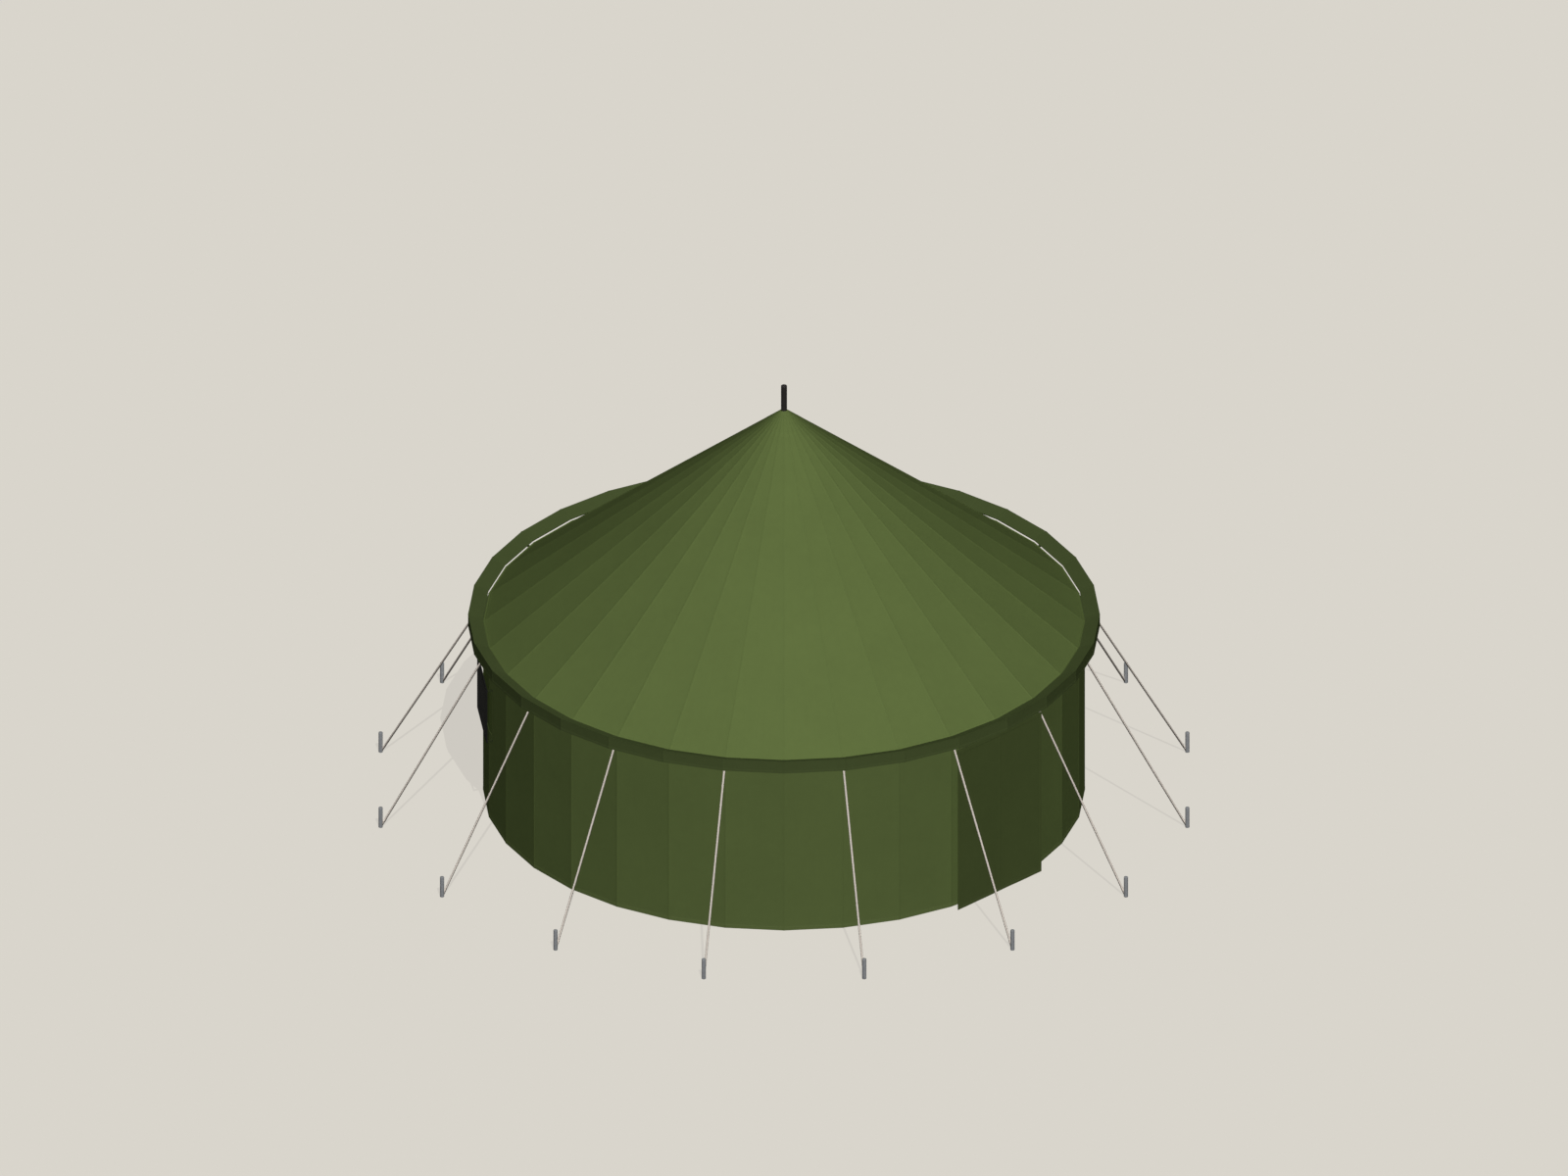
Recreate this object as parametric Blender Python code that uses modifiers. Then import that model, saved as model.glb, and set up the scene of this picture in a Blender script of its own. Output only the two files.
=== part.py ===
# Circus big top: a round tent on one king pole, with a rigid eave hoop, guy ropes and stakes.
# Metres, +Z up. The origin is the tent's centre on the ground, and the doorway faces -Y.
# A radius of the wall, roof, hoop or valance is measured at a corner of its many-sided ring.

import math

import bmesh
import bpy

# Tent body
SIDES = 32                        # flat sides of the wall, and gores of the roof
WALL_RADIUS = 5.0                 # outer face
CLOTH = 0.02                      # stand-in thickness of the coated canvas
RIM_HEIGHT = 3.162                # top edge of the roof's rim
APEX_HEIGHT = 7.14                # where the roof meets the king pole
SEAT = 0.0003                     # gap left between two pieces that touch

# King pole
POLE_RADIUS = 0.05
POLE_TOP = 7.6
POLE_CHAMFER = 0.006
FLANGE_RADIUS = 0.2
FLANGE_THICKNESS = 0.015
SOCKET_RADIUS = 0.064
SOCKET_HEIGHT = 0.14
COLLAR_RADIUS = 0.12
COLLAR_DEPTH = 0.09

# Eave: the flared valance, and the hoop that carries it
VALANCE_INNER_RADIUS = 5.008
VALANCE_OUTER_RADIUS = 5.25
VALANCE_INNER_HEIGHT = 3.202
VALANCE_TOP = 3.303
VALANCE_BOTTOM = 3.085
VALANCE_LIP = 0.004               # the flare thins to this at its inner edge
HOOP_TUBE_RADIUS = 0.024
HOOP_TUBE_SIDES = 12
HOOP_HEIGHT = 3.072
BRACKET_WIDTH = 0.016             # each bracket is a plate that stands on edge
BRACKET_LEG = 0.03                # depth of the leg that stands against the valance
BRACKET_ARM = 0.03                # depth of the arm, next to the leg

# Guy ropes and stakes
ROPES = 16
ROPE_RADIUS = 0.02
ROPE_SIDES = 12
ROPE_START = 0.15                 # from the roof's rim to the rope's seat on its bracket
ROPE_SEAT_HALF = 0.03
STAKE_CIRCLE_RADIUS = 6.835
STAKE_RADIUS = 0.035
STAKE_HEIGHT = 0.371
STAKE_SIDES = 24
STAKE_CHAMFER = 0.006

# Doorway
DOOR_HALF_WIDTH = 0.78
DOOR_HEIGHT = 2.7
FLAP_DISTANCE = 5.065             # from the tent's centre to the middle of the flap
FLAP_HALF_WIDTH = 0.98            # clears the two ropes beside it
FLAP_HEIGHT = 2.992
RAIL_HALF_WIDTH = 0.95            # shorter than the flap's edge, to clear the ropes
RAIL_HEIGHT = 0.05
RAIL_DEPTH = 0.026
RAIL_DROP = 0.007                 # from the flap's top edge to the rail's
RAIL_STUB_WIDTH = 0.03
RAIL_STUB_PLACES = (-0.7, 0.0, 0.7)

# Windows, one on each side of the tent and alike
WINDOW_ANGLE = math.radians(128.24)   # from the doorway's direction
WINDOW_DISTANCE = 5.06                # from the tent's centre to the frame's outer face
WINDOW_WIDTH = 1.29
WINDOW_HEIGHT = 0.99
WINDOW_SILL = 1.528
WINDOW_BAR = 0.05
WINDOW_DEPTH = 0.02
WINDOW_CUT_MARGIN = 0.1               # the hole in the wall is this much smaller all round
WINDOW_PANE = 0.008
WINDOW_STUB = 0.03
CUT_DEPTH = 0.6                       # cutters run this far through the wall

# Worked out from these
STEP = 2 * math.pi / SIDES
DOOR_DIRECTION = -math.pi / 2
ROOF_SLOPE = (APEX_HEIGHT - RIM_HEIGHT) / (WALL_RADIUS - POLE_RADIUS)
CLOTH_DROP = CLOTH * math.sqrt(1 + ROOF_SLOPE ** 2)
WALL_HEIGHT = RIM_HEIGHT - CLOTH_DROP - SEAT
FLARE_SLOPE = (VALANCE_TOP - VALANCE_INNER_HEIGHT) / (VALANCE_OUTER_RADIUS - VALANCE_INNER_RADIUS)
HOOP_RADIUS = WALL_RADIUS + SEAT + HOOP_TUBE_RADIUS
ROPE_RUN = math.hypot(STAKE_CIRCLE_RADIUS - WALL_RADIUS, RIM_HEIGHT)
ROPE_OUT = (STAKE_CIRCLE_RADIUS - WALL_RADIUS) / ROPE_RUN
ROPE_DOWN = RIM_HEIGHT / ROPE_RUN


def clear_scene():
    for obj in list(bpy.data.objects):
        bpy.data.objects.remove(obj, do_unlink=True)
    for group in list(bpy.data.collections):
        bpy.data.collections.remove(group)


def new_collection(name):
    group = bpy.data.collections.new(name)
    bpy.context.scene.collection.children.link(group)
    return group


def new_material(name, colour, roughness, metallic):
    made = bpy.data.materials.new(name)
    made.use_nodes = True
    shader = made.node_tree.nodes["Principled BSDF"]
    shader.inputs["Base Color"].default_value = (*colour, 1.0)
    shader.inputs["Roughness"].default_value = roughness
    shader.inputs["Metallic"].default_value = metallic
    made.diffuse_color = (*colour, 1.0)
    return made


def add_object(name, mesh, finish, group):
    obj = bpy.data.objects.new(name, mesh)
    if finish and not mesh.materials:
        mesh.materials.append(finish)
    group.objects.link(obj)
    return obj


def add_cutter(name, mesh):
    obj = add_object(name, mesh, None, cutters)
    obj.hide_render = True
    obj.display_type = "WIRE"
    return obj


def turned_mesh(name, profile, closed):
    # a line of points (radius, height) that a Screw modifier turns about Z
    mesh = bpy.data.meshes.new(name)
    edges = [(i, i + 1) for i in range(len(profile) - 1)]
    if closed:
        edges.append((len(profile) - 1, 0))
    mesh.from_pydata([(radius, 0, height) for radius, height in profile], edges, [])
    return mesh


def turn(obj, steps):
    screw = obj.modifiers.new("Turned", "SCREW")
    screw.axis = "Z"
    screw.angle = 2 * math.pi
    screw.steps = steps
    screw.render_steps = steps
    screw.use_merge_vertices = True
    screw.merge_threshold = 0.0001
    screw.use_smooth_shade = False


def turned(name, profile, finish, steps=SIDES, closed=False):
    # the profile runs down its outer side, from top to bottom
    obj = add_object(name, turned_mesh(name, profile, closed), finish, tent)
    turn(obj, steps)
    return obj


def outline_mesh(name, loops, thickness):
    # flat outlines in XY, given a thickness along Z; the second outline is a hole
    curve = bpy.data.curves.new(name, "CURVE")
    curve.dimensions = "2D"
    curve.fill_mode = "BOTH"
    curve.extrude = thickness / 2
    for loop in loops:
        spline = curve.splines.new("POLY")
        spline.points.add(len(loop) - 1)
        for point, (x, y) in zip(spline.points, loop):
            point.co = (x, y, 0, 1)
        spline.use_cyclic_u = True
    holder = bpy.data.objects.new(name, curve)
    tent.objects.link(holder)
    evaluated = holder.evaluated_get(bpy.context.evaluated_depsgraph_get())
    mesh = bpy.data.meshes.new_from_object(evaluated)
    bpy.data.objects.remove(holder)
    bpy.data.curves.remove(curve)
    welded = bmesh.new()
    welded.from_mesh(mesh)
    bmesh.ops.remove_doubles(welded, verts=welded.verts, dist=0.00001)
    bmesh.ops.recalc_face_normals(welded, faces=welded.faces)
    welded.to_mesh(mesh)
    welded.free()
    mesh.name = name
    return mesh


def box_mesh(name, low, high):
    mesh = bpy.data.meshes.new(name)
    box = bmesh.new()
    bmesh.ops.create_cube(box, size=1)
    size = [b - a for a, b in zip(low, high)]
    middle = [(a + b) / 2 for a, b in zip(low, high)]
    bmesh.ops.scale(box, verts=box.verts, vec=size)
    bmesh.ops.translate(box, verts=box.verts, vec=middle)
    box.to_mesh(mesh)
    box.free()
    return mesh


def combine(obj, operation, other):
    boolean = obj.modifiers.new(operation.title(), "BOOLEAN")
    boolean.operation = operation
    boolean.solver = "EXACT"
    if isinstance(other, bpy.types.Collection):
        boolean.operand_type = "COLLECTION"
        boolean.collection = other
    else:
        boolean.object = other


def ring_point(radius, angle):
    # the point of the many-sided ring in this direction from the tent's centre
    middle = (math.floor(angle / STEP) + 0.5) * STEP
    reach = radius * math.cos(STEP / 2) / math.cos(angle - middle)
    return (reach * math.cos(angle), reach * math.sin(angle))


def side_point(radius, x):
    # the point at this x on the two sides of the ring that face the doorway
    corner = radius * math.sin(STEP)
    drop = radius * (1 - math.cos(STEP))
    return (x, -radius + drop * abs(x) / corner)


def corners_between(start, end):
    first = math.floor(start / STEP + 0.0001) + 1
    last = math.ceil(end / STEP - 0.0001)
    return [number * STEP for number in range(first, last)]


# King pole, its base, and the collar that the roof is lashed to

def make_king_pole():
    foot = FLANGE_THICKNESS + SEAT
    profile = [(0, POLE_TOP), (POLE_RADIUS - POLE_CHAMFER, POLE_TOP),
               (POLE_RADIUS, POLE_TOP - POLE_CHAMFER), (POLE_RADIUS, foot), (0, foot)]
    turned("king_pole", profile, pole_paint)


def make_pole_base():
    bore = POLE_RADIUS + SEAT
    profile = [(0, FLANGE_THICKNESS), (bore, FLANGE_THICKNESS), (bore, SOCKET_HEIGHT),
               (SOCKET_RADIUS, SOCKET_HEIGHT), (SOCKET_RADIUS, FLANGE_THICKNESS),
               (FLANGE_RADIUS, FLANGE_THICKNESS), (FLANGE_RADIUS, 0), (0, 0)]
    turned("king_pole_base", profile, steel)


def roof_height(radius):
    return APEX_HEIGHT - ROOF_SLOPE * (radius - POLE_RADIUS)


def lining_height(radius):
    return roof_height(radius) - CLOTH_DROP


def make_crown_collar():
    bore = POLE_RADIUS + SEAT
    low = lining_height(COLLAR_RADIUS) - COLLAR_DEPTH
    profile = [(bore, lining_height(bore) - SEAT), (COLLAR_RADIUS, lining_height(COLLAR_RADIUS) - SEAT),
               (COLLAR_RADIUS, low), (bore, low)]
    turned("crown_collar", profile, steel, closed=True)


def make_roof():
    bore = POLE_RADIUS + SEAT
    profile = [(bore, roof_height(bore)), (WALL_RADIUS, RIM_HEIGHT),
               (WALL_RADIUS, RIM_HEIGHT - CLOTH_DROP), (bore, lining_height(bore))]
    turned("roof_canopy", profile, roof_cloth, closed=True)


# Valance, hoop and the brackets between them

def flare_underside(radius):
    inner = VALANCE_INNER_HEIGHT - VALANCE_LIP
    outer = VALANCE_TOP - CLOTH * math.sqrt(1 + FLARE_SLOPE ** 2)
    share = (radius - VALANCE_INNER_RADIUS) / (VALANCE_OUTER_RADIUS - VALANCE_INNER_RADIUS)
    return inner + share * (outer - inner)


def make_valance():
    skirt = VALANCE_OUTER_RADIUS - CLOTH
    profile = [(VALANCE_INNER_RADIUS, VALANCE_INNER_HEIGHT), (VALANCE_OUTER_RADIUS, VALANCE_TOP),
               (VALANCE_OUTER_RADIUS, VALANCE_BOTTOM), (skirt, VALANCE_BOTTOM),
               (skirt, flare_underside(skirt)),
               (VALANCE_INNER_RADIUS, flare_underside(VALANCE_INNER_RADIUS))]
    turned("eave_valance", profile, valance_cloth, closed=True)


def rope_point(along, across=0.0):
    # a point (radius, height) near a rope's line, which starts at the roof's rim
    radius = WALL_RADIUS + along * ROPE_OUT + across * ROPE_DOWN
    height = RIM_HEIGHT - along * ROPE_DOWN + across * ROPE_OUT
    return (radius, height)


def bracket_outline():
    # a lug square to the rope, an arm, and a leg in the corner of the valance
    corner_slack = BRACKET_WIDTH / 2 * math.tan(STEP / 2)
    outer = VALANCE_OUTER_RADIUS - CLOTH - corner_slack - SEAT
    inner = outer - BRACKET_LEG
    root = HOOP_RADIUS + HOOP_TUBE_RADIUS / 4
    half = HOOP_TUBE_RADIUS / 2
    return [(root, HOOP_HEIGHT - half), rope_point(ROPE_START, -ROPE_SEAT_HALF),
            rope_point(ROPE_START, ROPE_SEAT_HALF), (outer, VALANCE_BOTTOM + half),
            (outer, flare_underside(outer) - SEAT), (inner, flare_underside(inner) - SEAT),
            (inner, VALANCE_BOTTOM + BRACKET_ARM), (root, HOOP_HEIGHT + half)]


def rope_direction(number):
    return DOOR_DIRECTION + (number + 0.5) * 2 * math.pi / ROPES


def make_hoop():
    ring = [(HOOP_RADIUS - HOOP_TUBE_RADIUS * math.cos(turn_angle),
             HOOP_HEIGHT + HOOP_TUBE_RADIUS * math.sin(turn_angle))
            for turn_angle in (i * 2 * math.pi / HOOP_TUBE_SIDES for i in range(HOOP_TUBE_SIDES))]
    hoop = turned("eave_hoop", ring, steel, closed=True)
    mesh = outline_mesh("bracket", [bracket_outline()], BRACKET_WIDTH)
    for number in range(ROPES):
        bracket = bpy.data.objects.new("bracket_%02d" % (number + 1), mesh)
        bracket.rotation_euler = (math.pi / 2, 0, rope_direction(number))
        bracket.hide_render = True
        bracket.display_type = "WIRE"
        brackets.objects.link(bracket)
    combine(hoop, "UNION", brackets)


# Wall, in segments of four sides, with the doorway's own three pieces

def wall_outline(outer, inner):
    return outer + inner[::-1]


def wall_prism(name, outline, low, high):
    mesh = outline_mesh(name, [outline], high - low)
    obj = add_object(name, mesh, wall_cloth, tent)
    obj.location.z = (low + high) / 2
    return obj


def make_wall_segment(name, middle):
    slack = SEAT / 2 / WALL_RADIUS
    start = middle - 2 * STEP + slack
    end = middle + 2 * STEP - slack
    angles = [start] + corners_between(start, end) + [end]
    outer = [ring_point(WALL_RADIUS, angle) for angle in angles]
    inner = [ring_point(WALL_RADIUS - CLOTH, angle) for angle in angles]
    return wall_prism(name, wall_outline(outer, inner), 0, WALL_HEIGHT)


def make_doorway():
    slack = SEAT / 2 / WALL_RADIUS
    radii = (WALL_RADIUS, WALL_RADIUS - CLOTH)
    for name, side in (("wall_door_left", -1), ("wall_door_right", 1)):
        angles = [DOOR_DIRECTION + side * (2 * STEP - slack), DOOR_DIRECTION + side * STEP]
        faces = []
        for radius in radii:
            face = [ring_point(radius, angle) for angle in angles]
            faces.append(face + [side_point(radius, side * DOOR_HALF_WIDTH)])
        wall_prism(name, wall_outline(*faces), 0, WALL_HEIGHT)
    end = DOOR_HALF_WIDTH - SEAT
    faces = [[side_point(radius, x) for x in (-end, 0, end)] for radius in radii]
    wall_prism("wall_door_head", wall_outline(*faces), DOOR_HEIGHT, WALL_HEIGHT)


def make_flap():
    near = -FLAP_DISTANCE - CLOTH / 2
    mesh = box_mesh("door_flap", (-FLAP_HALF_WIDTH, near, 0), (FLAP_HALF_WIDTH, near + CLOTH, FLAP_HEIGHT))
    add_object("door_flap", mesh, flap_cloth, tent)


def make_rail():
    # the bar behind the flap's top edge, with hooked stubs up and back to the hoop
    near = -FLAP_DISTANCE + CLOTH / 2 + SEAT
    far = near + RAIL_DEPTH
    high = FLAP_HEIGHT - RAIL_DROP
    low = high - RAIL_HEIGHT
    mesh = box_mesh("door_rail", (-RAIL_HALF_WIDTH, near, low), (RAIL_HALF_WIDTH, far, high))
    rail = add_object("door_rail", mesh, steel, tent)
    top = HOOP_HEIGHT + HOOP_TUBE_RADIUS / 2
    arm = HOOP_HEIGHT - HOOP_TUBE_RADIUS - SEAT
    for number, x in enumerate(RAIL_STUB_PLACES):
        outer_edge = abs(x) - RAIL_STUB_WIDTH / 2 if x else 0
        seat = side_point(HOOP_RADIUS + HOOP_TUBE_RADIUS + SEAT, outer_edge)[1]
        outline = [(near, low), (far, low), (far, arm), (seat, arm), (seat, top), (near, top)]
        stub = add_cutter("rail_stub_%d" % number, outline_mesh("rail_stub", [outline], RAIL_STUB_WIDTH))
        stub.rotation_euler = (math.pi / 2, 0, math.pi / 2)
        stub.location.x = x
        combine(rail, "UNION", stub)


# Windows

def make_window(name, wall, side):
    direction = DOOR_DIRECTION + side * WINDOW_ANGLE
    facing = (math.pi / 2, 0, direction + math.pi / 2)
    half_width = WINDOW_WIDTH / 2
    half_height = WINDOW_HEIGHT / 2
    middle_height = WINDOW_SILL + half_height

    def place(obj, distance):
        obj.rotation_euler = facing
        obj.location = (distance * math.cos(direction), distance * math.sin(direction), middle_height)

    def rectangle(trim):
        across = half_width - trim
        up = half_height - trim
        return [(-across, -up), (across, -up), (across, up), (-across, up)]

    loops = [rectangle(0), rectangle(WINDOW_BAR)[::-1]]
    frame = add_object(name + "_frame", outline_mesh(name + "_frame", loops, WINDOW_DEPTH), window_paint, tent)
    place(frame, WINDOW_DISTANCE - WINDOW_DEPTH / 2)
    pane_outline = rectangle(WINDOW_BAR + SEAT)
    pane = add_object(name + "_pane", outline_mesh(name + "_pane", [pane_outline], WINDOW_PANE), mesh_cloth, tent)
    place(pane, WINDOW_DISTANCE - WINDOW_DEPTH / 2)
    half = WINDOW_STUB / 2
    stub_depth = WINDOW_DISTANCE - WALL_RADIUS + CLOTH * 4
    for number, (x, y) in enumerate(rectangle(WINDOW_BAR / 2)):
        mesh = box_mesh(name + "_stub", (x - half, y - half, -stub_depth), (x + half, y + half, 0))
        stub = add_cutter("%s_stub_%d" % (name, number), mesh)
        place(stub, WINDOW_DISTANCE - WINDOW_DEPTH / 2)
        combine(frame, "UNION", stub)
    combine(frame, "DIFFERENCE", wall_clearance)
    across = half_width - WINDOW_CUT_MARGIN
    up = half_height - WINDOW_CUT_MARGIN
    hole = add_cutter(name + "_hole", box_mesh(name + "_hole", (-across, -up, -CUT_DEPTH), (across, up, CUT_DEPTH)))
    place(hole, WALL_RADIUS)
    combine(wall, "DIFFERENCE", hole)


def make_wall_clearance():
    # the space that the wall fills, a seat's gap larger all round
    radius = WALL_RADIUS + SEAT
    mesh = turned_mesh("wall_clearance", [(0, RIM_HEIGHT), (radius, RIM_HEIGHT), (radius, -1), (0, -1)], False)
    solid = add_cutter("wall_clearance", mesh)
    turn(solid, SIDES)
    return solid


# Ropes and stakes

def rope_mesh():
    # a round rope cut square at its bracket and upright at its stake
    mesh = bpy.data.meshes.new("guy_rope")
    rope = bmesh.new()
    bmesh.ops.create_cone(rope, cap_ends=True, segments=ROPE_SIDES, radius1=ROPE_RADIUS,
                          radius2=ROPE_RADIUS, depth=1)
    stake_face = STAKE_CIRCLE_RADIUS - STAKE_RADIUS * math.cos(math.pi / STAKE_SIDES) - SEAT
    for vert in rope.verts:
        across, side, end = vert.co
        if end > 0:
            along = ROPE_START + SEAT
        else:
            along = (stake_face - WALL_RADIUS - across * ROPE_DOWN) / ROPE_OUT
        radius, height = rope_point(along, across)
        vert.co = (radius, side, height)
    rope.normal_update()
    bmesh.ops.recalc_face_normals(rope, faces=rope.faces)
    rope.to_mesh(mesh)
    rope.free()
    return mesh


def make_ropes():
    rope = rope_mesh()
    stake = turned_mesh("stake", [(0, STAKE_HEIGHT), (STAKE_RADIUS - STAKE_CHAMFER, STAKE_HEIGHT),
                                  (STAKE_RADIUS, STAKE_HEIGHT - STAKE_CHAMFER), (STAKE_RADIUS, 0), (0, 0)], False)
    for number in range(ROPES):
        direction = rope_direction(number)
        line = add_object("guy_rope_%02d" % (number + 1), rope, rope_fibre, tent)
        line.rotation_euler.z = direction
        post = add_object("stake_%02d" % (number + 1), stake, stake_steel, tent)
        post.location = (STAKE_CIRCLE_RADIUS * math.cos(direction), STAKE_CIRCLE_RADIUS * math.sin(direction), 0)
        post.rotation_euler.z = direction + math.pi / STAKE_SIDES     # a flat of it faces the rope
        turn(post, STAKE_SIDES)


clear_scene()
tent = new_collection("circus_big_top")
cutters = new_collection("cutters")
brackets = new_collection("hoop_brackets")

roof_cloth = new_material("roof_cloth", (0.128, 0.174, 0.053), 0.7, 0.0)
wall_cloth = new_material("wall_cloth", (0.13, 0.175, 0.055), 0.75, 0.0)
valance_cloth = new_material("valance_cloth", (0.082, 0.112, 0.037), 0.7, 0.0)
flap_cloth = new_material("flap_cloth", (0.085, 0.114, 0.037), 0.75, 0.0)
mesh_cloth = new_material("window_mesh", (0.01, 0.01, 0.01), 0.8, 0.0)
window_paint = new_material("window_paint", (0.012, 0.012, 0.011), 0.5, 0.0)
pole_paint = new_material("pole_paint", (0.02, 0.018, 0.016), 0.5, 0.0)
steel = new_material("hoop_steel", (0.35, 0.36, 0.37), 0.45, 1.0)
stake_steel = new_material("stake_steel", (0.215, 0.225, 0.232), 0.5, 0.2)
rope_fibre = new_material("rope_fibre", (0.7, 0.632, 0.556), 0.9, 0.0)

make_king_pole()
make_pole_base()
make_crown_collar()
make_roof()
make_valance()
make_hoop()

WALL_NAMES = ("wall_front_right", "wall_right", "wall_back_right", "wall_back",
              "wall_back_left", "wall_left", "wall_front_left")
walls = {}
for place_number, wall_name in enumerate(WALL_NAMES):
    walls[wall_name] = make_wall_segment(wall_name, DOOR_DIRECTION + (place_number + 1) * math.pi / 4)
make_doorway()
make_flap()
make_rail()

wall_clearance = make_wall_clearance()
make_window("window_left", walls["wall_back_left"], -1)
make_window("window_right", walls["wall_back_right"], 1)
make_ropes()
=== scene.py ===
import math

import bmesh
import bpy
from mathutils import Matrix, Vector


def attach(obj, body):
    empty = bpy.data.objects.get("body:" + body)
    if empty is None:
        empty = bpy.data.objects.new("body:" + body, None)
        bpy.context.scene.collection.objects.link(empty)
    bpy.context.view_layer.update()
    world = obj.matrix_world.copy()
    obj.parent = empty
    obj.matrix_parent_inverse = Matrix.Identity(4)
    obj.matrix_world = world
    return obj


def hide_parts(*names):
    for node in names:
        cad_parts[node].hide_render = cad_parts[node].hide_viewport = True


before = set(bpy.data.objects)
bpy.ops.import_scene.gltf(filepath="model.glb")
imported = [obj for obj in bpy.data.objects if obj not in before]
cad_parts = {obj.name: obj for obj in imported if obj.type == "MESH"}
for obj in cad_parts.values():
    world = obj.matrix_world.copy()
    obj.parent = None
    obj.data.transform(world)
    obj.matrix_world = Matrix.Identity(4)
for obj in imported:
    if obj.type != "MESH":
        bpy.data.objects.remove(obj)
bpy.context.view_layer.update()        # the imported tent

# One-pole round big top in olive canvas. Everything here is in metres, in the frame of the packed
# model: +Z up, the king pole on the Z axis, the doorway towards -Y.

tent = {
    "sides": 32,                # flat sides of the wall, and gores of the roof
    "radius": 5.0,              # of the wall and of the roof's rim, at the corners
    "rimHeight": 3.162,
    "cloth": 0.005,             # thickness of the heavy canvas
    "ridge": 3.5,               # degrees between two faces from which their edge stays crisp
    "poleRadius": 0.05,
    "poleGap": 0.0515,          # radius of the roof's hole for the pole
    "pad": 0.0147,              # felt sewn under the cloth where steel carries it
    "seat": 0.0003,             # gap between two pieces that touch
    "windowTurn": 128.24,       # degrees from the doorway to either window
    "studEnd": 5.035,           # the studs behind the windows' frames end this far from the pole
}
stepAngle = 2 * math.pi / tent["sides"]
cosHalf = math.cos(stepAngle / 2)
doorDirection = -90             # degrees from +X
doorPlace = 24                  # places count the ring's corners from +X, and this one faces -Y


def held(value):
    # kept between 0 and 1
    return max(0.0, min(1.0, value))


def addObject(name, data):
    obj = bpy.data.objects.new(name, data)
    bpy.context.scene.collection.objects.link(obj)
    return obj


def meshObject(name, work, sharpAngle=None):
    mesh = bpy.data.meshes.new(name)
    work.to_mesh(mesh)
    work.free()
    if sharpAngle:
        mesh.set_sharp_from_angle(angle=math.radians(sharpAngle))
    return addObject(name, mesh)


# Camera, at the picture's own angle

camera = {
    "turn": -45.0,              # degrees round the tent, where 0 looks along +Y
    "tilt": 27.94,              # degrees above the horizon
    "frameWidth": 26.06,        # metres across the picture
    "aimHeight": 3.791,         # height on the pole that lies in the picture's middle
    "distance": 60.0,
    "range": 500.0,
}


def towards(turn, tilt):
    # the direction from the tent to something that stands at these angles, in degrees
    a = math.radians(turn)
    e = math.radians(tilt)
    return Vector((math.sin(a) * math.cos(e), -math.cos(a) * math.cos(e), math.sin(e)))


def makeCamera():
    back = towards(camera["turn"], camera["tilt"])
    data = bpy.data.cameras.new("pictureCamera")
    data.type = "ORTHO"
    data.ortho_scale = camera["frameWidth"]
    data.clip_end = camera["range"]
    eye = addObject("pictureCamera", data)
    eye.location = Vector((0, 0, camera["aimHeight"])) + camera["distance"] * back
    eye.rotation_mode = "QUATERNION"
    eye.rotation_quaternion = (-back).to_track_quat("-Z", "Y")
    bpy.context.scene.camera = eye


makeCamera()
print("camera placed")


# Shader helpers: a wire is one socket, and sums on wires add the Math nodes

class Wire:
    def __init__(self, paint, socket):
        self.paint = paint
        self.socket = socket

    def __add__(self, other):
        return self.paint.maths("ADD", self, other)

    def __radd__(self, other):
        return self.paint.maths("ADD", other, self)

    def __sub__(self, other):
        return self.paint.maths("SUBTRACT", self, other)

    def __rsub__(self, other):
        return self.paint.maths("SUBTRACT", other, self)

    def __mul__(self, other):
        return self.paint.maths("MULTIPLY", self, other)

    def __rmul__(self, other):
        return self.paint.maths("MULTIPLY", other, self)

    def __truediv__(self, other):
        return self.paint.maths("DIVIDE", self, other)

    def __pow__(self, other):
        return self.paint.maths("POWER", self, other)

    def __gt__(self, other):
        return self.paint.maths("GREATER_THAN", self, other)

    def __lt__(self, other):
        return self.paint.maths("LESS_THAN", self, other)

    def __abs__(self):
        return self.paint.maths("ABSOLUTE", self)

    def sine(self):
        return self.paint.maths("SINE", self)

    def part(self):
        return self.paint.maths("FRACT", self)

    def held(self):             # kept between 0 and 1
        return self.paint.maths("MAXIMUM", self.paint.maths("MINIMUM", self, 1.0), 0.0)

    def closeTo(self, place, width):
        return abs(self - place) < width / 2


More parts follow.
